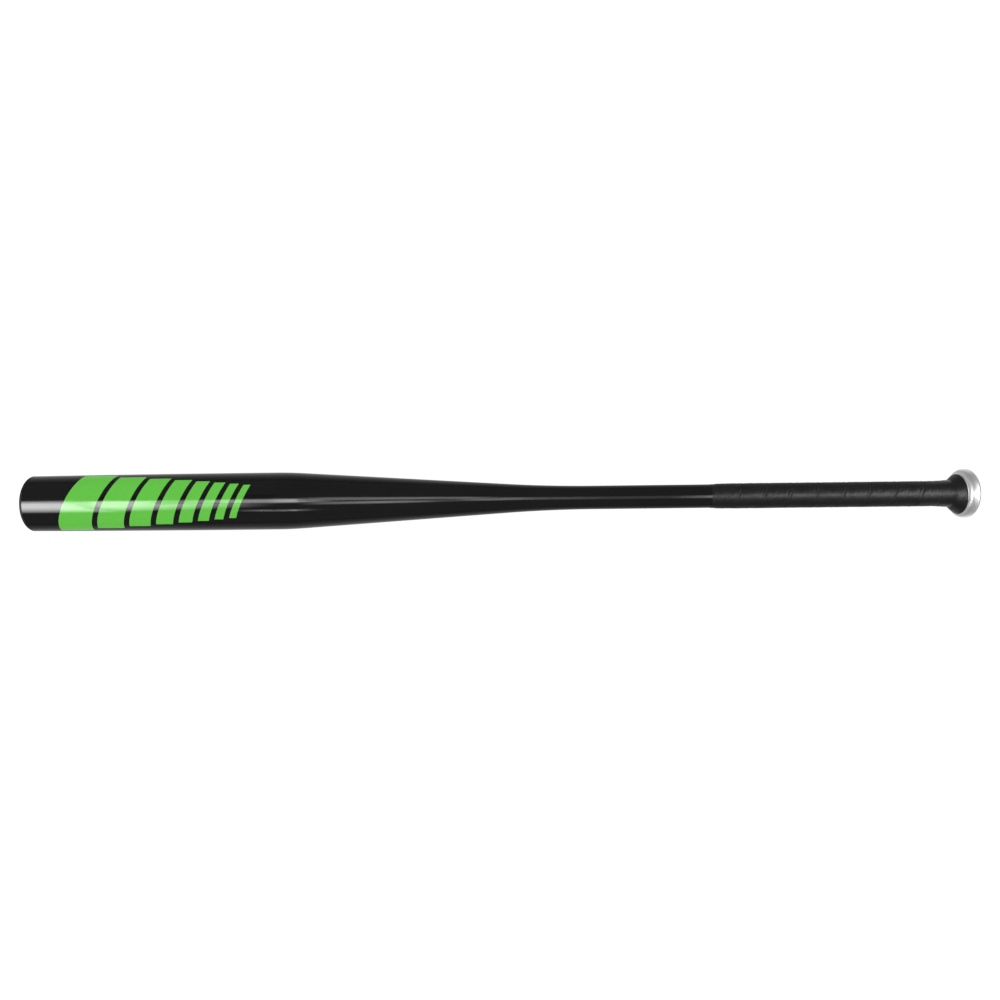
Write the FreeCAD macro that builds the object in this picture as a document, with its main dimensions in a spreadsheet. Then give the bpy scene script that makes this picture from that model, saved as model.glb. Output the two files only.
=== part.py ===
"""A one-piece aluminium baseball bat, lying along X with its barrel end towards -X and its knob towards +X.

Every outline is drawn in stations: X is the distance from the outer face of the end cap and Y is the radius.
The bodies are then set back by half the length, so the origin is on the axis, halfway along the bat.
"""

import FreeCAD, Part
import math
import os
import re

import Sketcher

SIZES = {
    # The whole bat
    "overall_length": 863.6,
    # Shell: a swaged tube of barrel, cone and handle
    "barrel_end_radius": 25.4,
    "barrel_radius": 26.3,
    "barrel_crown": 27430,
    "shoulder_start": 224.5,
    "shoulder_blend": 402,
    "taper_angle": 3.7,
    "handle_blend": 1238,
    "handle_radius": 10.85,
    "barrel_bore": 23,
    "bore_cone_start": 232,
    "bore_cone_end": 476,
    "handle_bore": 7.9,
    # End cap: a moulded plug with a flange, a snap bead and stiffening ribs
    "cap_flange": 2.3,
    "cap_edge_round": 1.2,
    "cap_dish_depth": 1,
    "cap_dish_radius": 17,
    "cap_dish_bevel": 1,
    "cap_plate": 4.3,
    "cap_skirt_length": 18.7,
    "cap_skirt_wall": 2.5,
    "cap_lead_in": 1,
    "bead_start": 9.5,
    "bead_length": 4,
    "bead_height": 0.6,
    "rib_thickness": 2,
    "rib_length": 7,
    # Knob: turned, with a spigot in the handle and a weld round the joint
    "knob_joint": 839.5,
    "weld_depth": 1.6,
    "spigot_length": 20,
    "spigot_chamfer": 1,
    "neck_angle": 39.5,
    "rim_radius": 22.55,
    "rim_back_round": 5.3,
    "rim_back_angle": 70,
    "rim_land": 1.7,
    "rim_front_round": 3.6,
    "centre_hole_radius": 2.4,
    "centre_hole_depth": 2,
    # Grip: adhesive underlay, wound wrap and the tape that closes its upper end
    "underlay": 0.15,
    "wrap_start": 629.5,
    "wrap_lead": 14,
    "wrap_lead_thickness": 0.15,
    "grip_radius": 11.6,
    "swell_start": 829,
    "swell_radius": 12.5,
    "swell_round": 112.5,
    "wrap_end": 852.3,
    "flare_wrap": 0.35,
    "tape_start": 624.5,
    "tape_end": 637.5,
    "tape": 0.13,
    # Decal: leaning bars that shrink along the barrel
    "film": 0.1,
    "bars_start": 40,
    "bar_width": 30,
    "bar_shrink": 0.8,
    "bar_gap": 5,
    "bar_half_height": 24.6,
    "bar_height_shrink": 0.93,
    "bar_lean": 0.45,
}
RIB_COUNT = 6
BAR_COUNT = 8

doc = FreeCAD.newDocument("baseball_bat")
sheet = doc.addObject("Spreadsheet::Sheet", "Sizes")
for row, (alias, size) in enumerate(SIZES.items(), start=1):
    sheet.set(f"A{row}", alias)
    sheet.set(f"B{row}", str(size))
    sheet.setAlias(f"B{row}", alias)
doc.recompute()


def bound(expression):
    """The expression with each size's name turned into its cell of the sheet."""
    return re.sub(r"[a-z_]+", lambda word: f"Sizes.{word[0]}" if word[0] in SIZES else word[0], expression)


def worth(expression):
    """The number that an expression of sizes comes to."""
    return float(sheet.evalExpression(bound(expression)))


def add_sketch(body, name, plane):
    """A sketch on one of its own body's origin planes."""
    sketch = body.newObject("Sketcher::SketchObject", name)
    support = next(item for item in body.Origin.OriginFeatures if item.Role == plane)
    sketch.AttachmentSupport = [(support, "")]
    sketch.MapMode = "FlatFace"
    return sketch


def edge_between(start, end, radius):
    """A line, or an arc that turns clockwise for a positive radius. Also which of its ends is the start."""
    if radius == 0:
        return Part.LineSegment(start, end), 1
    chord = end - start
    reach = math.sqrt(radius**2 - (chord.Length / 2) ** 2) * math.copysign(1, radius)
    centre = (start + end) / 2 + FreeCAD.Vector(chord.y, -chord.x, 0).normalize() * reach
    first, last = (end, start) if radius > 0 else (start, end)
    angles = [math.atan2(point.y - centre.y, point.x - centre.x) for point in (first, last)]
    circle = Part.Circle(centre, FreeCAD.Vector(0, 0, 1), abs(radius))
    return Part.ArcOfCircle(circle, *angles), 2 if radius > 0 else 1


def pin(sketch, name, direction, edge, end, expression):
    """Holds a corner at a distance from the sketch's origin, and ties the distance to the sheet."""
    if expression == "0":
        axis = -2 if direction == "DistanceX" else -1
        sketch.addConstraint(Sketcher.Constraint("PointOnObject", edge, end, axis))
        return
    number = sketch.addConstraint(
        Sketcher.Constraint(direction, -1, 1, edge, end, worth(expression))
    )
    sketch.renameConstraint(number, name)
    sketch.setExpression(f"Constraints.{name}", bound(expression))


def draw_outline(sketch, corners, prefix="p"):
    """Draws a closed outline. A corner is (x, y) or (x, y, radius of the arc that arrives there), as expressions."""
    places = [FreeCAD.Vector(worth(corner[0]), worth(corner[1]), 0) for corner in corners]
    edges = []
    for i, start in enumerate(places):
        arrival = corners[(i + 1) % len(corners)]
        radius = worth(arrival[2]) if len(arrival) > 2 else 0
        edge, start_end = edge_between(start, places[(i + 1) % len(places)], radius)
        number = sketch.addGeometry(edge)
        edges.append((number, start_end))
        pin(sketch, f"{prefix}{i}x", "DistanceX", number, start_end, corners[i][0])
        pin(sketch, f"{prefix}{i}y", "DistanceY", number, start_end, corners[i][1])
        if radius:
            size = sketch.addConstraint(Sketcher.Constraint("Radius", number, abs(radius)))
            sketch.renameConstraint(size, f"{prefix}{i}r")
            sketch.setExpression(f"Constraints.{prefix}{i}r", bound(f"abs({arrival[2]})"))
    for (number, start_end), (after, after_start) in zip(edges, edges[1:] + edges[:1]):
        sketch.addConstraint(Sketcher.Constraint("Coincident", number, 3 - start_end, after, after_start))


def add_body(label):
    """A body whose X counts stations from the barrel end."""
    body = doc.addObject("PartDesign::Body", label)
    body.Label = label
    body.setExpression("Placement.Base.x", bound("-overall_length / 2"))
    return body


def turned(label, corners):
    """A body made by turning an outline once round the bat's axis."""
    body = add_body(label)
    sketch = add_sketch(body, f"{label}_outline", "XY_Plane")
    draw_outline(sketch, corners)
    turn = body.newObject("PartDesign::Revolution", f"{label}_turn")
    turn.Profile = sketch
    turn.ReferenceAxis = (sketch, ["H_Axis"])
    turn.Angle = 360
    body.Tip = turn
    return body


# Places that several pieces share
CONE_START = "(shoulder_start + shoulder_blend * sin(taper_angle))"
CONE_START_RADIUS = "(barrel_radius - shoulder_blend * (1 - cos(taper_angle)))"
CONE_END_RADIUS = "(handle_radius + handle_blend * (1 - cos(taper_angle)))"
CONE_END = f"({CONE_START} + ({CONE_START_RADIUS} - {CONE_END_RADIUS}) / tan(taper_angle))"
HANDLE_START = f"({CONE_END} + handle_blend * sin(taper_angle))"
BEAD_TOP = "barrel_bore + bead_height"
RIM_BACK = "(overall_length - rim_front_round - rim_land)"
RIM_CORNER = f"({RIM_BACK} - rim_back_round * sin(rim_back_angle))"
RIM_CORNER_RADIUS = "(rim_radius - rim_back_round * (1 - cos(rim_back_angle)))"
NECK_START = f"({RIM_CORNER} - ({RIM_CORNER_RADIUS} - handle_radius) / tan(neck_angle))"
UNDERLAY_RADIUS = "(handle_radius + underlay)"
WRAP_EDGE_RADIUS = f"(handle_radius + (wrap_end - {NECK_START}) * tan(neck_angle))"


def neck_station(radius):
    """Where the knob's flared neck reaches a radius."""
    return f"({NECK_START} + ({radius} - handle_radius) / tan(neck_angle))"


def make_shell():
    """The tube: outer skin from the barrel to the handle, then back along the bore, with the cap's snap groove."""
    turned(
        "bat_shell",
        [
            ("cap_flange", "barrel_end_radius"),
            ("shoulder_start", "barrel_radius", "barrel_crown"),
            (CONE_START, CONE_START_RADIUS, "shoulder_blend"),
            (CONE_END, CONE_END_RADIUS),
            (HANDLE_START, "handle_radius", "-handle_blend"),
            ("knob_joint - weld_depth", "handle_radius"),
            ("knob_joint", "handle_radius - weld_depth"),
            ("knob_joint", "handle_bore"),
            ("bore_cone_end", "handle_bore"),
            ("bore_cone_start", "barrel_bore"),
            ("bead_start + bead_length", "barrel_bore"),
            ("bead_start + bead_length - bead_height", BEAD_TOP),
            ("bead_start + bead_height", BEAD_TOP),
            ("bead_start", "barrel_bore"),
            ("cap_flange", "barrel_bore"),
        ],
    )


def make_end_cap():
    """The plug: dished face, rounded flange, skirt with a snap bead, and ribs behind the face."""
    skirt_end = "cap_flange + cap_skirt_length"
    plate_back = "cap_dish_depth + cap_plate"
    body = turned(
        "end_cap",
        [
            ("cap_dish_depth", "0"),
            ("cap_dish_depth", "cap_dish_radius"),
            ("0", "cap_dish_radius + cap_dish_bevel"),
            ("0", "barrel_end_radius - cap_edge_round"),
            ("cap_edge_round", "barrel_end_radius", "cap_edge_round"),
            ("cap_flange", "barrel_end_radius"),
            ("cap_flange", "barrel_bore"),
            ("bead_start", "barrel_bore"),
            ("bead_start + bead_height", BEAD_TOP),
            ("bead_start + bead_length - bead_height", BEAD_TOP),
            ("bead_start + bead_length", "barrel_bore"),
            (f"{skirt_end} - cap_lead_in", "barrel_bore"),
            (skirt_end, "barrel_bore - cap_lead_in"),
            (skirt_end, "barrel_bore - cap_skirt_wall"),
            (plate_back, "barrel_bore - cap_skirt_wall"),
            (plate_back, "0"),
        ],
    )
    doc.recompute()
    plain_volume = body.Shape.Volume

    # One rib runs from the axis into the skirt. It starts inside the plate, so that the two are one solid.
    sketch = add_sketch(body, "rib_outline", "XY_Plane")
    draw_outline(
        sketch,
        [
            ("cap_dish_depth + cap_plate / 2", "0"),
            ("cap_dish_depth + cap_plate / 2", "barrel_bore - cap_skirt_wall / 2"),
            (f"{plate_back} + rib_length", "barrel_bore - cap_skirt_wall / 2"),
            (f"{plate_back} + rib_length", "0"),
        ],
    )
    rib = body.newObject("PartDesign::Pad", "rib")
    rib.Profile = sketch
    rib.SideType = "Symmetric"
    rib.setExpression("Length", bound("rib_thickness"))
    doc.recompute()
    ribs = body.newObject("PartDesign::PolarPattern", "ribs")
    ribs.Originals = [rib]
    ribs.Axis = (sketch, ["H_Axis"])
    ribs.Angle = 360
    ribs.Occurrences = RIB_COUNT
    body.Tip = ribs
    doc.recompute()
    if body.Shape.Volume < plain_volume * 1.05:
        raise RuntimeError("the end cap's ribs added nothing")


def make_knob():
    """The knob: spigot, weld groove, flared neck, rounded rim and a flat end with a centre hole."""
    spigot_start = "knob_joint - spigot_length"
    turned(
        "knob",
        [
            (spigot_start, "0"),
            (spigot_start, "handle_bore - spigot_chamfer"),
            (f"{spigot_start} + spigot_chamfer", "handle_bore"),
            ("knob_joint", "handle_bore"),
            ("knob_joint", "handle_radius - weld_depth"),
            ("knob_joint + weld_depth", "handle_radius"),
            (NECK_START, "handle_radius"),
            (RIM_CORNER, RIM_CORNER_RADIUS),
            (RIM_BACK, "rim_radius", "rim_back_round"),
            ("overall_length - rim_front_round", "rim_radius"),
            ("overall_length", "rim_radius - rim_front_round", "rim_front_round"),
            ("overall_length", "centre_hole_radius"),
            ("overall_length - centre_hole_depth", "0"),
        ],
    )
    turned(
        "knob_weld",
        [
            ("knob_joint - weld_depth", "handle_radius"),
            ("knob_joint + weld_depth", "handle_radius"),
            ("knob_joint", "handle_radius - weld_depth"),
        ],
    )


def make_grip():
    """The underlay on the bare tube, the wrap over it and up the knob's neck, and the closing tape."""
    lead_radius = f"({UNDERLAY_RADIUS} + wrap_lead_thickness)"
    tape_end_radius = (
        f"({lead_radius} + (grip_radius - {lead_radius}) * (tape_end - wrap_start) / wrap_lead)"
    )
    turned(
        "grip_underlay",
        [
            ("wrap_start", "handle_radius"),
            ("wrap_start", UNDERLAY_RADIUS),
            (neck_station(UNDERLAY_RADIUS), UNDERLAY_RADIUS),
            (NECK_START, "handle_radius"),
        ],
    )
    turned(
        "grip_wrap",
        [
            ("wrap_start", UNDERLAY_RADIUS),
            ("wrap_start", lead_radius),
            ("wrap_start + wrap_lead", "grip_radius"),
            ("swell_start", "grip_radius"),
            (neck_station("(swell_radius - flare_wrap)"), "swell_radius", "-swell_round"),
            ("wrap_end", f"{WRAP_EDGE_RADIUS} + flare_wrap"),
            ("wrap_end", WRAP_EDGE_RADIUS),
            (neck_station(UNDERLAY_RADIUS), UNDERLAY_RADIUS),
        ],
    )
    turned(
        "finishing_tape",
        [
            ("tape_start", "handle_radius"),
            ("tape_start", "handle_radius + tape"),
            ("wrap_start", f"{lead_radius} + tape"),
            ("tape_end", f"{tape_end_radius} + tape"),
            ("tape_end", tape_end_radius),
            ("wrap_start", lead_radius),
            ("wrap_start", "handle_radius"),
        ],
    )


def make_decal():
    """The film: a thin sleeve on the barrel, cut to the part that lies under a row of leaning bars."""
    sleeve = turned(
        "decal_sleeve",
        [
            ("cap_flange", "barrel_end_radius + film"),
            ("shoulder_start", "barrel_radius + film", "barrel_crown + film"),
            ("shoulder_start", "barrel_radius"),
            ("cap_flange", "barrel_end_radius", "-barrel_crown"),
        ],
    )
    stencil = add_body("decal_stencil")
    sketch = add_sketch(stencil, "bar_outlines", "XY_Plane")
    for i in range(BAR_COUNT):
        shrunk = f"pow(bar_shrink; {i})"
        left = f"(bars_start + bar_width * (1 - {shrunk}) / (1 - bar_shrink) + bar_gap * {i})"
        right = f"({left} + bar_width * {shrunk})"
        half = f"(bar_half_height * pow(bar_height_shrink; {i}))"
        lean = f"bar_lean * {half}"
        draw_outline(
            sketch,
            [
                (f"{left} - {lean}", f"-{half}"),
                (f"{left} + {lean}", half),
                (f"{right} + {lean}", half),
                (f"{right} - {lean}", f"-{half}"),
            ],
            prefix=f"bar{i}_",
        )
    pad = stencil.newObject("PartDesign::Pad", "bars")
    pad.Profile = sketch
    pad.setExpression("Length", bound("barrel_radius * 2"))
    stencil.Tip = pad
    decal = doc.addObject("Part::Common", "barrel_decal")
    decal.Label = "barrel_decal"
    decal.Base = sleeve
    decal.Tool = stencil


make_shell()
make_end_cap()
make_knob()
make_grip()
make_decal()
doc.recompute()

NODES = [
    "bat_shell",
    "end_cap",
    "knob",
    "knob_weld",
    "grip_underlay",
    "grip_wrap",
    "finishing_tape",
    "barrel_decal",
]
for item in doc.Objects:
    if {"Invalid", "Error"} & set(item.State):
        raise RuntimeError(f"{item.Name} failed: {item.State}")

os.makedirs("parts", exist_ok=True)
for node in NODES:
    shape = doc.getObject(node).Shape
    if shape.isNull() or not shape.isValid():
        raise RuntimeError(f"{node} has no valid shape")
    print(f"{node}: {len(shape.Solids)} solids, {shape.Volume:.1f} mm3, box {shape.BoundBox}")
    shape.exportStep(f"parts/{node}.step")
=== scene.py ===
"""Looks for an aluminium baseball bat: gloss black shell, wound grip, turned knob, moulded cap, green film.

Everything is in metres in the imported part's frame. The bat lies along X, its barrel end towards -X, and the
axis is at y = 0, z = 0. Lengths below that the frame doesn't give are the bat's own, and places along the bat
are counted from its barrel end.
"""

import math

import bmesh
import bpy
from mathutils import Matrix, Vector, noise


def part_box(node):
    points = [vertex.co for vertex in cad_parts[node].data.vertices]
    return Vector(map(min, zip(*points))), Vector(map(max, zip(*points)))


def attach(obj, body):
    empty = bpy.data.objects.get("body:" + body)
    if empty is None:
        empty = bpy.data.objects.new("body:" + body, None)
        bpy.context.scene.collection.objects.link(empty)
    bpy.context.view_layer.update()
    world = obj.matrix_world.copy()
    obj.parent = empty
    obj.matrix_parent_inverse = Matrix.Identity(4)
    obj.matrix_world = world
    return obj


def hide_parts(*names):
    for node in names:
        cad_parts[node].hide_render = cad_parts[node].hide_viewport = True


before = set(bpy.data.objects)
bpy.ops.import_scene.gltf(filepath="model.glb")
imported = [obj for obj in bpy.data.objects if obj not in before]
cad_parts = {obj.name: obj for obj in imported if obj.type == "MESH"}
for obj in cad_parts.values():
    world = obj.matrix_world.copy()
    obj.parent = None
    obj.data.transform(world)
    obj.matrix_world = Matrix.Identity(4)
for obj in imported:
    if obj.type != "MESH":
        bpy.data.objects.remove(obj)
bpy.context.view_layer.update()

MM = 0.001
TURN = 2 * math.pi

# From the frame
BARREL_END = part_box("end_cap")[0].x
KNOB_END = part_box("knob")[1].x
SHELL_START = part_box("bat_shell")[0].x
SHELL_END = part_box("bat_shell")[1].x
WRAP_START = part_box("grip_wrap")[0].x
WRAP_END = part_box("grip_wrap")[1].x
TAPE_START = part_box("finishing_tape")[0].x
TAPE_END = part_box("finishing_tape")[1].x
CAP_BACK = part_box("end_cap")[1].x
SPIGOT_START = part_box("knob")[0].x

# Shell
BARREL_END_RADIUS = 25.4 * MM
BARREL_RADIUS = 26.3 * MM
BARREL_CROWN = 27.43
SHOULDER_START = BARREL_END + 224.5 * MM
SHOULDER_BLEND = 0.402
TAPER = math.radians(3.7)
HANDLE_BLEND = 1.238
HANDLE_RADIUS = 10.85 * MM
BARREL_BORE = 23 * MM
BORE_CONE_START = BARREL_END + 232 * MM
BORE_CONE_END = BARREL_END + 476 * MM
HANDLE_BORE = 7.9 * MM
WELD_DEPTH = 1.6 * MM

# End cap
CAP_EDGE_ROUND = 1.2 * MM
CAP_DISH_DEPTH = 1 * MM
CAP_DISH_RADIUS = 17 * MM
CAP_PLATE = 4.3 * MM
CAP_SKIRT_WALL = 2.5 * MM
BEAD_START = BARREL_END + 9.5 * MM
BEAD_LENGTH = 4 * MM
BEAD_HEIGHT = 0.6 * MM
RIB_COUNT = 6
RIB_THICKNESS = 2 * MM
RIB_LENGTH = 7 * MM

# Knob
NECK_ANGLE = math.radians(39.5)
RIM_RADIUS = 22.55 * MM
RIM_BACK_ROUND = 5.3 * MM
RIM_BACK_ANGLE = math.radians(70)
RIM_FRONT_ROUND = 3.6 * MM
RIM_LAND = 1.7 * MM
CENTRE_HOLE = 2.4 * MM

# Grip
UNDERLAY_RADIUS = 11 * MM
WRAP_LEAD = 14 * MM
WRAP_LEAD_RADIUS = 11.15 * MM
GRIP_RADIUS = 11.6 * MM
SWELL_START = BARREL_END + 829 * MM
SWELL_RADIUS = 12.5 * MM
FLARE_WRAP = 0.35 * MM
TAPE = 0.13 * MM
WRAP_PITCH = 23.8 * MM
FIRST_SEAM = BARREL_END + 648.6 * MM
SEAM_WANDER = 0.5 * MM
CREASE_SHARE = 0.868
CREASE_DEPTH = 0.13 * MM
DIMPLE_DEPTH = 0.07 * MM
DOUBLED_HEIGHT = 0.14 * MM
FOLD_DEPTH = 0.26 * MM
RING_DEPTH = 0.26 * MM
TAPE_CUT_ANGLE = 1.6 * math.pi
TAPE_STRETCH = 0.035 * MM
TAPE_LEDGE = 1.5 * MM
TAPE_EDGE = 0.15 * MM

# Decal
FILM = 0.06 * MM
BAR_COUNT = 8
BARS_START = BARREL_END + 40 * MM
BAR_WIDTH = 30 * MM
BAR_SHRINK = 0.8
BAR_GAP = 5 * MM
BAR_HALF_HEIGHT = 24.6 * MM
BAR_HEIGHT_SHRINK = 0.93
BAR_LEAN = 0.45

SHARP_ANGLE = math.radians(32)
AROUND = 256

# Stage
LAMP_HEIGHT = 0.7455
POOL_CORE = 0.048
POOL_REACH = 0.4
FLOOR_GLOW = 0.9
SURROUND_GLOW = 1.3
MIRRORED_SURROUND_GLOW = 0.1
CAMERA_LENS = 29.015
CAMERA_STATION = 0.43033
CAMERA_SIDE = -0.0014
CAMERA_TURN = math.radians(-0.65)


# ---------------------------------------------------------------- outlines


def spread(start, end, count):
    """Count + 1 evenly spaced numbers from start to end."""
    return [start + (end - start) * i / count for i in range(count + 1)]


def smooth_step(value):
    value = min(max(value, 0.0), 1.0)
    return value * value * (3 - 2 * value)


CONE_START = SHOULDER_START + SHOULDER_BLEND * math.sin(TAPER)
CONE_START_RADIUS = BARREL_RADIUS - SHOULDER_BLEND * (1 - math.cos(TAPER))
CONE_END_RADIUS = HANDLE_RADIUS + HANDLE_BLEND * (1 - math.cos(TAPER))
CONE_END = CONE_START + (CONE_START_RADIUS - CONE_END_RADIUS) / math.tan(TAPER)
HANDLE_START = CONE_END + HANDLE_BLEND * math.sin(TAPER)


def shell_radius(x):
    """The painted skin: crowned barrel, rounded shoulder, straight cone, hollow blend and straight handle."""
    if x < SHOULDER_START:
        return BARREL_RADIUS - BARREL_CROWN + math.sqrt(BARREL_CROWN**2 - (SHOULDER_START - x) ** 2)
    if x < CONE_START:
        return BARREL_RADIUS - SHOULDER_BLEND + math.sqrt(SHOULDER_BLEND**2 - (x - SHOULDER_START) ** 2)
    if x < CONE_END:
        return CONE_START_RADIUS - (x - CONE_START) * math.tan(TAPER)
    if x < HANDLE_START:
        return HANDLE_RADIUS + HANDLE_BLEND - math.sqrt(HANDLE_BLEND**2 - (HANDLE_START - x) ** 2)
    return HANDLE_RADIUS


RIM_FRONT = KNOB_END - RIM_FRONT_ROUND
RIM_BACK = RIM_FRONT - RIM_LAND
RIM_CORNER = RIM_BACK - RIM_BACK_ROUND * math.sin(RIM_BACK_ANGLE)
RIM_CORNER_RADIUS = RIM_RADIUS - RIM_BACK_ROUND * (1 - math.cos(RIM_BACK_ANGLE))
NECK_START = RIM_CORNER - (RIM_CORNER_RADIUS - HANDLE_RADIUS) / math.tan(NECK_ANGLE)
FLARE_START = NECK_START + (SWELL_RADIUS - FLARE_WRAP - HANDLE_RADIUS) / math.tan(NECK_ANGLE)


def neck_radius(x):
    """The bare metal under the grip: the handle, then the knob's flared neck."""
    return HANDLE_RADIUS + max(0.0, (x - NECK_START) * math.tan(NECK_ANGLE))


def wrap_radius(x):
    """The grip's outer surface without its laps: thin lead-in, straight grip, swell and flare."""
    if x < WRAP_START + WRAP_LEAD:
        return WRAP_LEAD_RADIUS + (GRIP_RADIUS - WRAP_LEAD_RADIUS) * (x - WRAP_START) / WRAP_LEAD
    if x < SWELL_START:
        return GRIP_RADIUS
    if x < FLARE_START:
        part = (x - SWELL_START) / (FLARE_START - SWELL_START)
        return GRIP_RADIUS + (SWELL_RADIUS - GRIP_RADIUS) * part**2
    return neck_radius(x) + FLARE_WRAP


# ---------------------------------------------------------------- mesh tools


def ring_point(x, radius, angle):
    """A point on the circle of this radius round the axis. Angle 0 is +Y and a quarter turn is +Z."""
    return Vector((x, radius * math.cos(angle), radius * math.sin(angle)))


def add_piece(name, mesh_data, material, slot, *nodes):
    """Finishes a bmesh as a piece that rides on the bat in place of its CAD nodes."""
    bmesh.ops.recalc_face_normals(mesh_data, faces=mesh_data.faces)
    for face in mesh_data.faces:
        face.smooth = True
    for edge in mesh_data.edges:
        edge.smooth = edge.calc_face_angle(0) < SHARP_ANGLE
    mesh = bpy.data.meshes.new(name)
    mesh_data.to_mesh(mesh)
    mesh_data.free()
    mesh.materials.append(material)
    piece = bpy.data.objects.new(name, mesh)
    bpy.context.scene.collection.objects.link(piece)
    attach(piece, "root")
    if nodes:
        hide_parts(*nodes)
    return piece


def lathe(outline, around=AROUND):
    """A closed surface of revolution. Outline points are (x, radius). One on the axis becomes one vertex."""
    mesh_data = bmesh.new()
    rings = []
    for x, radius in outline:
        if radius == 0:
            rings.append([mesh_data.verts.new((x, 0, 0))] * around)
        else:
            points = [ring_point(x, radius, TURN * i / around) for i in range(around)]
            rings.append([mesh_data.verts.new(point) for point in points])
    closed = outline[0][1] != 0
    pairs = list(zip(rings, rings[1:])) + ([(rings[-1], rings[0])] if closed else [])
    for ring, after in pairs:
        add_band(mesh_data, ring, after)
    return mesh_data


def add_band(mesh_data, ring, after):
    """Faces between two rings of as many vertices. Vertices that two corners share are used once."""
    for i in range(len(ring)):
        follow = (i + 1) % len(ring)
        corners = list(dict.fromkeys([ring[i], ring[follow], after[follow], after[i]]))
        if len(corners) > 2:
            mesh_data.faces.new(corners)


def sleeve(start, end, rows, outer, inner, around=AROUND):
    """A closed sleeve whose radii are functions of x and, outside, of the angle too."""
    mesh_data = bmesh.new()
    places = spread(start, end, rows)
    angles = [TURN * i / around for i in range(around)]
    rings = [[mesh_data.verts.new(ring_point(x, outer(x, a), a)) for a in angles] for x in places]
    rings += [[mesh_data.verts.new(ring_point(x, inner(x), a)) for a in angles] for x in reversed(places)]
    for ring, after in zip(rings, rings[1:] + rings[:1]):
        add_band(mesh_data, ring, after)
    return mesh_data


# ---------------------------------------------------------------- materials


class Shader:
    """A material with one Principled shader, and short ways to add nodes to it."""

    def __init__(self, name, colour, roughness, **sockets):
        self.material = bpy.data.materials.new(name)
        self.material.use_nodes = True
        self.tree = self.material.node_tree
        self.main = self.tree.nodes["Principled BSDF"]
        self.main.inputs["Base Color"].default_value = (*colour, 1)
        self.main.inputs["Roughness"].default_value = roughness
        for socket, value in sockets.items():
            self.main.inputs[socket.replace("_", " ")].default_value = value
        self.place = self.add("ShaderNodeTexCoord").outputs["Object"]

    def add(self, kind, **settings):
        node = self.tree.nodes.new(kind)
        for key, value in settings.items():
            setattr(node, key, value)
        return node

    def link(self, source, target):
        self.tree.links.new(source, target)

    def noise(self, scale, detail=2.0, vector=None, dimensions="3D"):
        """Noise over the piece, with scale in bumps per metre."""
        node = self.add("ShaderNodeTexNoise", noise_dimensions=dimensions)
        node.inputs["Scale"].default_value = scale
        node.inputs["Detail"].default_value = detail
        if dimensions == "1D":
            self.link(vector, node.inputs["W"])
        else:
            self.link(vector or self.place, node.inputs["Vector"])
        return node.outputs["Fac"]

    def math(self, operation, first, second):
        node = self.add("ShaderNodeMath", operation=operation)
        for value, socket in zip((first, second), node.inputs):
            if isinstance(value, (int, float)):
                socket.default_value = value
            else:
                self.link(value, socket)
        return node.outputs[0]

    def spread(self, value, low, high, low_in=0.3, high_in=0.7):
        """The value's range low_in to high_in stretched to low to high."""
        node = self.add("ShaderNodeMapRange")
        self.link(value, node.inputs["Value"])
        limits = {"From Min": low_in, "From Max": high_in, "To Min": low, "To Max": high}
        for socket, number in limits.items():
            node.inputs[socket].default_value = number
        return node.outputs["Result"]

    def mix(self, factor, first, second):
        node = self.add("ShaderNodeMix", data_type="RGBA")
        self.link(factor, node.inputs["Factor"])
        for socket, colour in zip([s for s in node.inputs if s.type == "RGBA"], (first, second)):
            socket.default_value = (*colour, 1)
        return next(s for s in node.outputs if s.type == "RGBA")

    def bump(self, height, depth, before=None):
        """Bumps of this depth in metres, on top of earlier ones."""
        node = self.add("ShaderNodeBump")
        node.inputs["Strength"].default_value = 1
        node.inputs["Distance"].default_value = depth
        self.link(height, node.inputs["Height"])
        if before:
            self.link(before, node.inputs["Normal"])
        self.link(node.outputs["Normal"], self.main.inputs["Normal"])
        return node.outputs["Normal"]

    def drive(self, socket, value):
        self.link(value, self.main.inputs[socket])


def make_paint():
    """Gloss enamel: nearly black, with faint orange peel and uneven polish."""
    shader = Shader("gloss_black_enamel", (0.006, 0.006, 0.0065), 0.1, IOR=1.5)
    shader.drive("Roughness", shader.spread(shader.noise(60, 3), 0.075, 0.12))
    dark, light = (0.0055, 0.0055, 0.006), (0.0075, 0.0075, 0.008)
    shader.drive("Base Color", shader.mix(shader.noise(35, 4), dark, light))
    shader.bump(shader.noise(700, 2), 0.0025 * MM)
    return shader.material


def make_film():
    """Green film under the same clear gloss as the enamel."""
    shader = Shader("green_film", (0.1, 0.44, 0.05), 0.1, IOR=1.5)
    shader.drive("Roughness", shader.spread(shader.noise(60, 3), 0.075, 0.12))
    shader.drive("Base Color", shader.mix(shader.noise(300, 4), (0.095, 0.42, 0.045), (0.11, 0.46, 0.056)))
    shader.bump(shader.noise(700, 2), 0.0025 * MM)
    return shader.material


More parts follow.
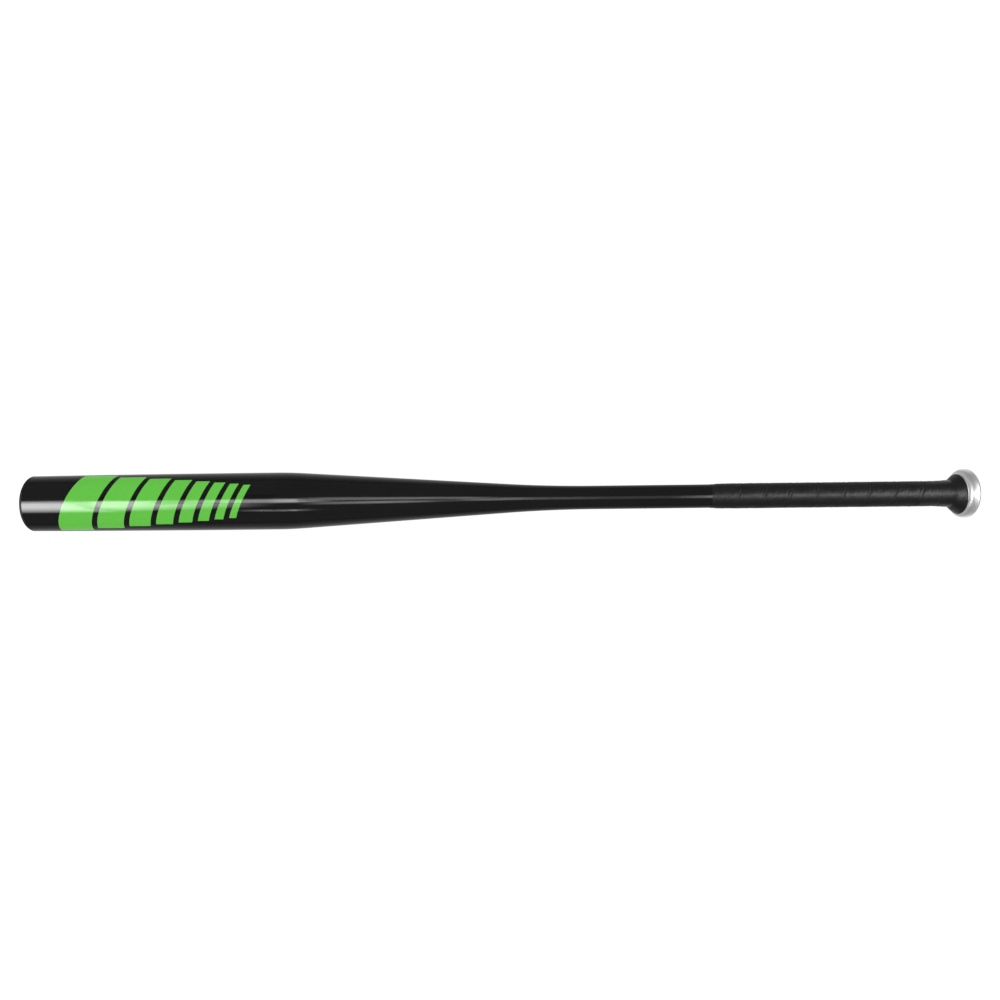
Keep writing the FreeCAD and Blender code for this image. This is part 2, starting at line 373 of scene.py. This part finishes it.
def make_turned_metal():
    """Bare aluminium with lathe marks: circles round the axis at every radius and station."""
    shader = Shader("turned_aluminium", (0.85, 0.85, 0.86), 0.3, Metallic=0.84, Anisotropic=0.6)
    tangent = shader.add("ShaderNodeTangent", direction_type="RADIAL", axis="X")
    shader.drive("Tangent", tangent.outputs[0])
    parts = shader.add("ShaderNodeSeparateXYZ")
    shader.link(shader.place, parts.inputs[0])
    squares = shader.math(
        "ADD",
        shader.math("MULTIPLY", parts.outputs["Y"], parts.outputs["Y"]),
        shader.math("MULTIPLY", parts.outputs["Z"], parts.outputs["Z"]),
    )
    across = shader.math("ADD", shader.math("POWER", squares, 0.5), parts.outputs["X"])
    marks = shader.noise(5200, 3, across, "1D")
    shader.drive("Roughness", shader.spread(marks, 0.28, 0.42))
    shader.drive("Base Color", shader.mix(shader.noise(900, 4, across, "1D"), (0.66, 0.66, 0.67), (1, 1, 1)))
    shader.bump(marks, 0.018 * MM)
    return shader.material


def make_weld_metal():
    """The ground weld bead: bright, with file marks across it."""
    shader = Shader("ground_weld", (0.6, 0.6, 0.61), 0.4, Metallic=1)
    shader.drive("Roughness", shader.spread(shader.noise(900, 4), 0.3, 0.55))
    shader.bump(shader.noise(2500, 3), 0.03 * MM)
    return shader.material


def make_urethane():
    """Moulded cap: matt, with the fine grain of an etched mould."""
    shader = Shader("moulded_urethane", (0.012, 0.012, 0.0125), 0.5, Specular_IOR_Level=0.2)
    shader.drive("Base Color", shader.mix(shader.noise(120, 4), (0.01, 0.01, 0.0105), (0.015, 0.015, 0.0155)))
    shader.drive("Roughness", shader.spread(shader.noise(400, 3), 0.42, 0.6))
    shader.bump(shader.noise(3200, 3), 0.012 * MM)
    return shader.material


def make_grip_leather():
    """Synthetic leather: satin black, small pebble grain, polished where hands hold it, dull at the laps."""
    shader = Shader("synthetic_leather", (0.007, 0.007, 0.0074), 0.4)
    cells = shader.add("ShaderNodeTexVoronoi", feature="SMOOTH_F1")
    cells.inputs["Scale"].default_value = 2600
    cells.inputs["Smoothness"].default_value = 0.6
    shader.link(shader.place, cells.inputs["Vector"])
    grain = shader.bump(cells.outputs["Distance"], 0.03 * MM)
    shader.bump(shader.noise(450, 3), 0.08 * MM, grain)
    wear = shader.noise(90, 4)
    laps = shader.add("ShaderNodeAttribute", attribute_name="lap").outputs["Fac"]
    scuffs = shader.math("MULTIPLY", laps, 0.3)
    shader.drive("Roughness", shader.math("ADD", shader.spread(wear, 0.32, 0.42), scuffs))
    shader.drive("Specular IOR Level", shader.spread(laps, 0.5, 0.3, 0, 1))
    shader.drive("Base Color", shader.mix(wear, (0.0055, 0.0055, 0.006), (0.009, 0.009, 0.0094)))
    return shader.material


def make_vinyl():
    """The finishing tape: stretched black vinyl, smoother than the leather."""
    shader = Shader("stretched_vinyl", (0.007, 0.007, 0.0074), 0.36)
    shader.drive("Roughness", shader.spread(shader.noise(260, 3), 0.32, 0.46))
    dark, light = (0.006, 0.006, 0.0064), (0.009, 0.009, 0.0094)
    shader.drive("Base Color", shader.mix(shader.noise(150, 3), dark, light))
    shader.bump(shader.noise(1400, 3), 0.015 * MM)
    return shader.material


def make_underlay():
    """Double-sided tape: cream, with a fine crepe."""
    shader = Shader("crepe_tape", (0.6, 0.56, 0.46), 0.7)
    shader.drive("Base Color", shader.mix(shader.noise(500, 4), (0.52, 0.48, 0.38), (0.66, 0.62, 0.52)))
    shader.bump(shader.noise(1800, 3), 0.05 * MM)
    return shader.material


# ---------------------------------------------------------------- pieces


def make_shell(material):
    """The tube: painted skin, a small edge break at its mouth, and the bore with the cap's snap groove."""
    edge_break = 0.25 * MM
    stops = [
        *spread(SHELL_START + edge_break, SHOULDER_START, 24)[:-1],
        *spread(SHOULDER_START, CONE_START, 14)[:-1],
        *spread(CONE_START, CONE_END, 16)[:-1],
        *spread(CONE_END, HANDLE_START, 24)[:-1],
        *spread(HANDLE_START, SHELL_END - WELD_DEPTH, 24),
    ]
    outline = [(SHELL_START, BARREL_END_RADIUS - edge_break)]
    outline += [(x, shell_radius(x)) for x in stops]
    outline += [
        (SHELL_END, HANDLE_RADIUS - WELD_DEPTH),
        (SHELL_END, HANDLE_BORE),
        (BORE_CONE_END, HANDLE_BORE),
        (BORE_CONE_START, BARREL_BORE),
        *reversed(bead_outline()),
        (SHELL_START, BARREL_BORE),
    ]
    return add_piece("painted_shell", lathe(outline), material, "gloss_paint", "bat_shell")


def bead_outline():
    """The snap bead on the cap, which is also the groove in the shell."""
    end = BEAD_START + BEAD_LENGTH
    return [
        (BEAD_START, BARREL_BORE),
        (BEAD_START + BEAD_HEIGHT, BARREL_BORE + BEAD_HEIGHT),
        (end - BEAD_HEIGHT, BARREL_BORE + BEAD_HEIGHT),
        (end, BARREL_BORE),
    ]


def arc(centre, crest, size, start, end, count):
    """Points of an arc whose highest radius is the crest, from the start angle to the end angle, from +X."""
    angles = spread(start, end, count)
    return [(centre + size * math.cos(a), crest - size + size * math.sin(a)) for a in angles]


def make_cap(material):
    """The plug: dished face with a soft inner edge, rounded flange, skirt with a snap bead, ribs behind."""
    plate_back = BARREL_END + CAP_DISH_DEPTH + CAP_PLATE
    edge_break = 0.2 * MM
    lead_in = 1 * MM
    bevel = 1 * MM
    outline = [
        (BARREL_END + CAP_DISH_DEPTH, 0),
        (BARREL_END + CAP_DISH_DEPTH, CAP_DISH_RADIUS * 0.5),
        (BARREL_END + CAP_DISH_DEPTH, CAP_DISH_RADIUS - edge_break),
        (BARREL_END + CAP_DISH_DEPTH - edge_break / 2, CAP_DISH_RADIUS + edge_break / 2),
        (BARREL_END + edge_break / 2, CAP_DISH_RADIUS + bevel - edge_break / 2),
        (BARREL_END, CAP_DISH_RADIUS + bevel + edge_break),
        *arc(BARREL_END + CAP_EDGE_ROUND, BARREL_END_RADIUS, CAP_EDGE_ROUND, math.pi, math.pi / 2, 10),
        (SHELL_START - edge_break, BARREL_END_RADIUS),
        (SHELL_START, BARREL_END_RADIUS - edge_break),
        (SHELL_START, BARREL_BORE),
        *bead_outline(),
        (CAP_BACK - lead_in, BARREL_BORE),
        (CAP_BACK, BARREL_BORE - lead_in),
        (CAP_BACK, BARREL_BORE - CAP_SKIRT_WALL),
        (plate_back, BARREL_BORE - CAP_SKIRT_WALL),
        (plate_back, 0),
    ]
    piece = add_piece("moulded_cap", lathe(outline), material, "cap_urethane", "end_cap")

    # The ribs are a star of slabs through the axis, which the union melts into the plate and skirt.
    reach = BARREL_BORE - CAP_SKIRT_WALL / 2
    for i in range(RIB_COUNT // 2):
        rib_data = bmesh.new()
        bmesh.ops.create_cube(rib_data, size=1)
        length = CAP_PLATE / 2 + RIB_LENGTH
        bmesh.ops.scale(rib_data, verts=rib_data.verts, vec=(length, reach * 2, RIB_THICKNESS))
        bmesh.ops.translate(rib_data, verts=rib_data.verts, vec=(plate_back + RIB_LENGTH - length / 2, 0, 0))
        for vert in rib_data.verts:
            radius, angle = math.hypot(vert.co.y, vert.co.z), math.atan2(vert.co.z, vert.co.y)
            vert.co = ring_point(vert.co.x, radius, angle + TURN * i / RIB_COUNT)
        mesh = bpy.data.meshes.new("rib")
        rib_data.to_mesh(mesh)
        rib_data.free()
        rib = bpy.data.objects.new("rib", mesh)
        bpy.context.scene.collection.objects.link(rib)
        join_solid(piece, rib)
    return piece


def join_solid(piece, addition):
    """Unites a second solid with the piece and removes it."""
    union = piece.modifiers.new("union", "BOOLEAN")
    union.operation = "UNION"
    union.solver = "EXACT"
    union.object = addition
    graph = bpy.context.evaluated_depsgraph_get()
    joined = bpy.data.meshes.new_from_object(piece.evaluated_get(graph))
    piece.modifiers.clear()
    piece.data = joined
    bpy.data.objects.remove(addition)


def make_knob(material):
    """The knob: spigot, weld groove, flared neck, rounded rim, flat end and centre hole."""
    chamfer = 1 * MM
    outline = [
        (SPIGOT_START, 0),
        (SPIGOT_START, HANDLE_BORE - chamfer),
        (SPIGOT_START + chamfer, HANDLE_BORE),
        (SHELL_END, HANDLE_BORE),
        (SHELL_END, HANDLE_RADIUS - WELD_DEPTH),
        (SHELL_END + WELD_DEPTH, HANDLE_RADIUS),
        *((x, neck_radius(x)) for x in spread(NECK_START, RIM_CORNER, 12)[:-1]),
        *arc(RIM_BACK, RIM_RADIUS, RIM_BACK_ROUND, math.pi / 2 + RIM_BACK_ANGLE, math.pi / 2, 24),
        *arc(RIM_FRONT, RIM_RADIUS, RIM_FRONT_ROUND, math.pi / 2, 0, 24),
        *((KNOB_END, radius) for radius in spread(RIM_RADIUS - RIM_FRONT_ROUND, CENTRE_HOLE, 8)[1:]),
        (KNOB_END - 2 * MM, 0),
    ]
    return add_piece("turned_knob", lathe(outline), material, "turned_aluminium", "knob")


# The strip across its width, from one lap to the next: (share of the pitch, height). It dips where it comes
# out from under the lap, creases where the earlier turn's edge lies below it, and ends in a raised edge.
STRIP_RELIEF = [
    (0.0, -0.3 * MM),
    (0.025, -0.12 * MM),
    (0.07, 0.02 * MM),
    (0.35, 0.05 * MM),
    (0.7, 0.03 * MM),
    (0.85, 0.0),
    (CREASE_SHARE, -0.1 * MM),
    (0.888, 0.02 * MM),
    (0.93, 0.09 * MM),
    (0.972, 0.08 * MM),
    (0.99, -0.05 * MM),
]


def strip_height(share):
    for (low, start), (high, end) in zip(STRIP_RELIEF, STRIP_RELIEF[1:]):
        if share <= high:
            return start + (end - start) * smooth_step((share - low) / (high - low))
    return STRIP_RELIEF[-1][1]


def lap_dullness(share):
    """How scuffed the strip is: most at the lap, where the skived edge shows, and less on the crease."""
    at_lap = 1 - min(share, 1 - share) / 0.05
    on_crease = 0.4 * (1 - abs(share - CREASE_SHARE) / 0.03)
    return max(at_lap, on_crease, 0)


def seam_place(turns):
    """Where the lap is after this many turns. It wanders a little, as hand winding does."""
    return FIRST_SEAM + WRAP_PITCH * turns + SEAM_WANDER * math.sin(1.9 * turns + 0.6)


def wrinkle(x, angle, twist, along, across):
    """Noise in ridges that wind round the bat, with twist in turns a metre and along in metres."""
    turned = angle + TURN * twist * x
    return noise.noise(Vector((x / along, across * math.cos(turned), across * math.sin(turned))))


def wrap_surface(x, angle, share):
    """The wrap's outer radius: laps, creases of hand winding, and folds where it climbs the neck."""
    upper_end = smooth_step((x - WRAP_START) / (2 * MM))
    ends = upper_end * smooth_step((wrap_edge(angle) - x) / (0.6 * MM))
    on_grip = smooth_step((SWELL_START + 8 * MM - x) / (6 * MM))
    dimples = DIMPLE_DEPTH * noise.noise(ring_point(x, 0.012, angle) * 160)
    creases = CREASE_DEPTH * wrinkle(x, angle, 24, 2.5 * MM, 3.6) + dimples
    doubled = DOUBLED_HEIGHT * smooth_step((x - SWELL_START - 3.5 * MM) / (0.8 * MM))
    near_corner = math.exp(-(((x - FLARE_START - 1 * MM) / (2.2 * MM)) ** 2))
    folds = FOLD_DEPTH * near_corner * wrinkle(x, angle, 0, 1.3 * MM, 1.2)
    ring = -RING_DEPTH * math.exp(-(((x - FLARE_START - 1.5 * MM) / (0.5 * MM)) ** 2))
    return wrap_radius(x) + ends * (strip_height(share) * on_grip + creases + doubled + folds + ring)


def wrap_edge(angle):
    """Where the strip ends on the neck. The edge is cut a little askew."""
    return WRAP_END + 0.2 * MM - 0.9 * MM * math.cos(angle) + 0.3 * MM * math.sin(angle)


def make_wrap(material):
    """One strip wound round the handle and cut at both ends: a closed sleeve whose rows follow the laps."""
    around = 160
    shares = sorted({*spread(0, 0.98, 49), *(share for share, _ in STRIP_RELIEF)})
    turns_before = math.ceil((FIRST_SEAM - WRAP_START) / WRAP_PITCH) + 2
    turns_after = math.ceil((WRAP_END - FIRST_SEAM) / WRAP_PITCH) + 2
    rows = [(turn, share) for turn in range(-turns_before, turns_after) for share in shares]
    mesh_data = bmesh.new()
    lap = mesh_data.verts.layers.float.new("lap")
    columns = []
    for i in range(around):
        angle = TURN * i / around
        lead = 0.25 - i / around
        first = mesh_data.verts.new(ring_point(WRAP_START, wrap_radius(WRAP_START), angle))
        edge = wrap_edge(angle)
        last = mesh_data.verts.new(ring_point(edge, neck_radius(edge) + FLARE_WRAP / 2, angle))
        column = []
        for turn, share in rows:
            start, end = seam_place(turn + lead), seam_place(turn + lead + 1)
            x = start + (end - start) * share
            if x <= WRAP_START:
                column.append(first)
            elif x >= edge - 0.1 * MM:
                column.append(last)
            else:
                vert = mesh_data.verts.new(ring_point(x, wrap_surface(x, angle, share), angle))
                vert[lap] = lap_dullness(share) if x < SWELL_START else 0
                column.append(vert)
        columns.append(column)
    # Going once round arrives one turn further along the strip.
    shift = len(shares)
    closing = [columns[0][max(0, i - shift)] for i in range(len(rows))]
    for column, after in zip(columns, columns[1:] + [closing]):
        for i in range(len(rows) - 1):
            corners = list(dict.fromkeys([column[i], column[i + 1], after[i + 1], after[i]]))
            if len(corners) > 2:
                mesh_data.faces.new(corners)
    inner_rings = []
    for share in (0, *spread(0.95, 1, 6)):
        ring = []
        for i in range(around):
            angle = TURN * i / around
            x = WRAP_START + (wrap_edge(angle) - WRAP_START) * share
            ring.append(mesh_data.verts.new(ring_point(x, max(UNDERLAY_RADIUS, neck_radius(x)), angle)))
        inner_rings.append(ring)
    for ring, after in zip(inner_rings, inner_rings[1:]):
        add_band(mesh_data, ring, after)
    add_band(mesh_data, [column[0] for column in columns], inner_rings[0])
    add_band(mesh_data, [column[-1] for column in columns], inner_rings[-1])
    return add_piece("wound_grip", mesh_data, material, "grip_leather", "grip_wrap")


def make_tape(material):
    """Two turns of tape over the wrap's upper end, with stretch wrinkles and a cut end at the back."""

    def under(x):
        if x < WRAP_START:
            return HANDLE_RADIUS
        return wrap_radius(x)

    def outer(x, angle):
        layers = 1 + ((angle - TAPE_CUT_ANGLE) % TURN) / TURN
        around = (math.cos(angle) * 2.5, math.sin(angle) * 2.5)
        stretch = TAPE_STRETCH * noise.noise(Vector((x * 700, *around)))
        ledge = smooth_step((x - WRAP_START + TAPE_LEDGE) / TAPE_LEDGE) if x < WRAP_START else 1
        base = HANDLE_RADIUS + (wrap_radius(max(x, WRAP_START)) - HANDLE_RADIUS) * ledge
        edges = min(1.0, (x - TAPE_START) / TAPE_EDGE, (TAPE_END - x) / TAPE_EDGE)
        return base + TAPE * layers * (0.4 + 0.6 * edges) + stretch * edges

    mesh_data = sleeve(TAPE_START, TAPE_END, 64, outer, under)
    return add_piece("tape_band", mesh_data, material, "vinyl_tape", "finishing_tape")


def make_decal(material):
    """Leaning bars of film, each narrower and shorter than the one before, moulded to the barrel."""
    mesh_data = bmesh.new()
    left = BARS_START
    width, half = BAR_WIDTH, BAR_HALF_HEIGHT
    for _ in range(BAR_COUNT):
        add_bar(mesh_data, left, width, half)
        left += width + BAR_GAP
        width *= BAR_SHRINK
        half *= BAR_HEIGHT_SHRINK
    return add_piece("green_bars", mesh_data, material, "decal_film", "barrel_decal")


def add_bar(mesh_data, left, width, half):
    """One bar as a thin closed sheet, in rows along the barrel and columns round it."""
    top_angle = math.asin(half / shell_radius(left))
    angles = spread(-top_angle, top_angle, 48)
    layers = []
    for lift in (FILM, 0):
        rows = []
        for share in spread(0, 1, 12):
            row = []
            for tilt in angles:
                y = shell_radius(left) * math.sin(tilt)
                x = left + width * share + BAR_LEAN * y
                row.append(mesh_data.verts.new(ring_point(x, shell_radius(x) + lift, math.pi / 2 - tilt)))
            rows.append(row)
        layers.append(rows)
    top, bottom = layers
    for rows in layers:
        for row, after in zip(rows, rows[1:]):
            for i in range(len(row) - 1):
                mesh_data.faces.new((row[i], row[i + 1], after[i + 1], after[i]))
    rim_top, rim_bottom = (outer_loop(rows) for rows in (top, bottom))
    add_band(mesh_data, rim_top, rim_bottom)


def outer_loop(rows):
    """The border of a grid of vertices, once round."""
    sides = [row[-1] for row in rows[1:-1]]
    back = [row[0] for row in reversed(rows[1:-1])]
    return [*rows[0], *sides, *reversed(rows[-1]), *back]


# ---------------------------------------------------------------- stage


def make_floor():
    """A pale floor that the barrel and the knob's rim both rest on, so it leans by a third of a degree."""
    rise = (BARREL_RADIUS - RIM_RADIUS) / (RIM_BACK - SHOULDER_START)
    reach = 6
    mesh_data = bmesh.new()
    corners = [(-reach, -reach), (reach, -reach), (reach, reach), (-reach, reach)]
    mesh_data.faces.new(
        [mesh_data.verts.new((x, y, (x - SHOULDER_START) * rise - BARREL_RADIUS)) for x, y in corners]
    )
    mesh = bpy.data.meshes.new("floor")
    mesh_data.to_mesh(mesh)
    mesh_data.free()
    floor = bpy.data.objects.new("floor", mesh)
    bpy.context.scene.collection.objects.link(floor)
    shader = Shader("pale_floor", (0.15, 0.15, 0.15), 0.9, Specular_IOR_Level=0)
    shader.drive("Base Color", shader.mix(shader.noise(6, 3), (0.14, 0.14, 0.14), (0.16, 0.16, 0.16)))
    shader.main.inputs["Emission Color"].default_value = (1, 1, 1, 1)
    shader.main.inputs["Emission Strength"].default_value = FLOOR_GLOW
    light_pool(shader)
    mesh.materials.append(shader.material)


def light_pool(shader):
    """What reflections see of the floor: bright beside the bat, dim further off, brightest by the knob."""
    parts = shader.add("ShaderNodeSeparateXYZ")
    shader.link(shader.place, parts.inputs[0])
    beside = shader.math("ABSOLUTE", parts.outputs["Y"], 0)
    beyond = shader.math("SUBTRACT", shader.math("ABSOLUTE", parts.outputs["X"], 0), POOL_REACH)
    distance = shader.math("MAXIMUM", shader.math("MAXIMUM", beside, beyond), POOL_CORE)
    glow = shader.add("ShaderNodeEmission")
    power = shader.math(
        "ADD",
        shader.spread(parts.outputs["X"], 0.024, 0.016, -0.05, 0.15),
        shader.spread(parts.outputs["X"], 0, 0.028, 0.418, 0.426),
    )
    shader.link(shader.math("DIVIDE", power, distance), glow.inputs["Strength"])
    path = shader.add("ShaderNodeLightPath")
    choice = shader.add("ShaderNodeMixShader")
    shader.link(path.outputs["Is Glossy Ray"], choice.inputs[0])
    shader.link(shader.main.outputs[0], choice.inputs[1])
    shader.link(glow.outputs[0], choice.inputs[2])
    output = next(node for node in shader.tree.nodes if node.type == "OUTPUT_MATERIAL")
    shader.link(choice.outputs[0], output.inputs["Surface"])


def make_world():
    """An even pale surround for sight and soft light, and a dim one for reflections."""
    world = bpy.data.worlds.new("studio")
    bpy.context.scene.world = world
    world.use_nodes = True
    nodes, links = world.node_tree.nodes, world.node_tree.links
    background = nodes["Background"]
    path = nodes.new("ShaderNodeLightPath")
    mix = nodes.new("ShaderNodeMix")
    links.new(path.outputs["Is Glossy Ray"], mix.inputs["Factor"])
    mix.inputs["A"].default_value = SURROUND_GLOW
    mix.inputs["B"].default_value = MIRRORED_SURROUND_GLOW
    links.new(mix.outputs["Result"], background.inputs["Strength"])
    background.inputs["Color"].default_value = (1, 1, 1, 1)


def make_card(name, x_range, y_range, glow, softness, lean=(0, 0)):
    """A glowing card at lamp height that only reflections see.

    Its glow goes from one strength to another along X. Softness is how far it takes to fade in at the low x,
    high x, low y and high y sides. Lean is how far the low and high y sides drift for each metre along X.
    """
    mesh_data = bmesh.new()
    slack = max(abs(value) for value in lean) * (x_range[1] - x_range[0])
    low_y, high_y = y_range[0] - slack, y_range[1] + slack
    corners = [(x_range[0], low_y), (x_range[1], low_y), (x_range[1], high_y), (x_range[0], high_y)]
    mesh_data.faces.new([mesh_data.verts.new((x, y, LAMP_HEIGHT)) for x, y in corners])
    mesh = bpy.data.meshes.new(name)
    mesh_data.to_mesh(mesh)
    mesh_data.free()
    card = bpy.data.objects.new(name, mesh)
    bpy.context.scene.collection.objects.link(card)
    card.visible_camera = False
    card.visible_diffuse = False
    card.visible_transmission = False
    card.visible_shadow = False

    shader = Shader(name, (0, 0, 0), 1, Specular_IOR_Level=0)
    parts = shader.add("ShaderNodeSeparateXYZ")
    shader.link(shader.place, parts.inputs[0])
    x, y = parts.outputs["X"], parts.outputs["Y"]
    along = shader.math("SUBTRACT", x, x_range[0])
    low_side = shader.math("SUBTRACT", y, shader.math("MULTIPLY", along, lean[0]))
    high_side = shader.math("SUBTRACT", y, shader.math("MULTIPLY", along, lean[1]))
    strength = shader.spread(x, *glow, *x_range)
    for value, dark, full in (
        (x, x_range[0], x_range[0] + softness[0]),
        (x, x_range[1], x_range[1] - softness[1]),
        (low_side, y_range[0], y_range[0] + softness[2]),
        (high_side, y_range[1], y_range[1] - softness[3]),
    ):
        strength = shader.math("MULTIPLY", strength, shader.spread(value, 0, 1, dark, full))
    light = shader.add("ShaderNodeEmission")
    shader.link(strength, light.inputs["Strength"])
    output = next(node for node in shader.tree.nodes if node.type == "OUTPUT_MATERIAL")
    shader.link(light.outputs[0], output.inputs["Surface"])
    mesh.materials.append(shader.material)


def make_camera():
    """Straight above the middle of the bat, and close to it, so that neither end face is in view."""
    camera_data = bpy.data.cameras.new("camera")
    camera_data.sensor_width = 36
    camera_data.lens = CAMERA_LENS
    camera = bpy.data.objects.new("camera", camera_data)
    bpy.context.scene.collection.objects.link(camera)
    camera.location = (BARREL_END + CAMERA_STATION, CAMERA_SIDE, LAMP_HEIGHT)
    camera.rotation_euler = (0, 0, CAMERA_TURN)
    bpy.context.scene.camera = camera


make_shell(make_paint())
make_cap(make_urethane())
make_knob(make_turned_metal())
make_wrap(make_grip_leather())
make_tape(make_vinyl())
make_decal(make_film())
for node, material in (("knob_weld", make_weld_metal()), ("grip_underlay", make_underlay())):
    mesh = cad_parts[node].data
    mesh.materials.clear()
    mesh.materials.append(material)

make_floor()
make_world()
make_card("softbox_far", (-1.5, -0.74), (-0.62, 0.16), (13, 15), (0.1, 0.04, 0.4, 0.2))
make_card("softbox_near", (-0.78, -0.4), (-0.55, 0.13), (14, 2.5), (0.04, 0.1, 0.33, 0.09), (0.6, -0.05))
make_card("main_strip", (-0.62, -0.2), (-0.12, 0.13), (5.8, 9.8), (0.12, 0.05, 0.08, 0.08))
make_card("low_strip", (-0.54, -0.27), (-0.69, -0.46), (5, 6), (0.06, 0.05, 0.08, 0.08), (0, -0.1))
make_card("low_knot", (-0.46, -0.35), (-0.69, -0.5), (4, 4), (0.05, 0.05, 0.08, 0.08))
make_card("taper_upper", (-0.27, 0.1), (-0.02, 0.2), (2.9, 3.6), (0.05, 0.06, 0.07, 0.07))
make_card("taper_lower", (-0.27, 0.02), (-0.25, -0.04), (1.7, 7.5), (0.04, 0.14, 0.07, 0.08))
make_card("taper_end", (-0.03, 0.2), (-0.21, 0.13), (3, 3.6), (0.09, 0.06, 0.08, 0.08))
make_card("handle_glow", (0.12, 0.4), (-0.3, 0.15), (0.9, 0.6), (0.04, 0.06, 0.12, 0.12))
make_card("handle_strip", (0.3, 0.5), (-0.28, 0.14), (5, 7), (0.12, 0.04, 0.12, 0.12))
make_card("grip_strip", (0.42, 1.05), (-0.16, 0.13), (6, 4), (0.06, 0.1, 0.1, 0.1))
make_card("knob_softbox", (0.93, 2), (-0.5, 0.48), (6, 6), (0.06, 0.2, 0.15, 0.15))
make_camera()
bpy.context.scene.view_settings.view_transform = "Standard"
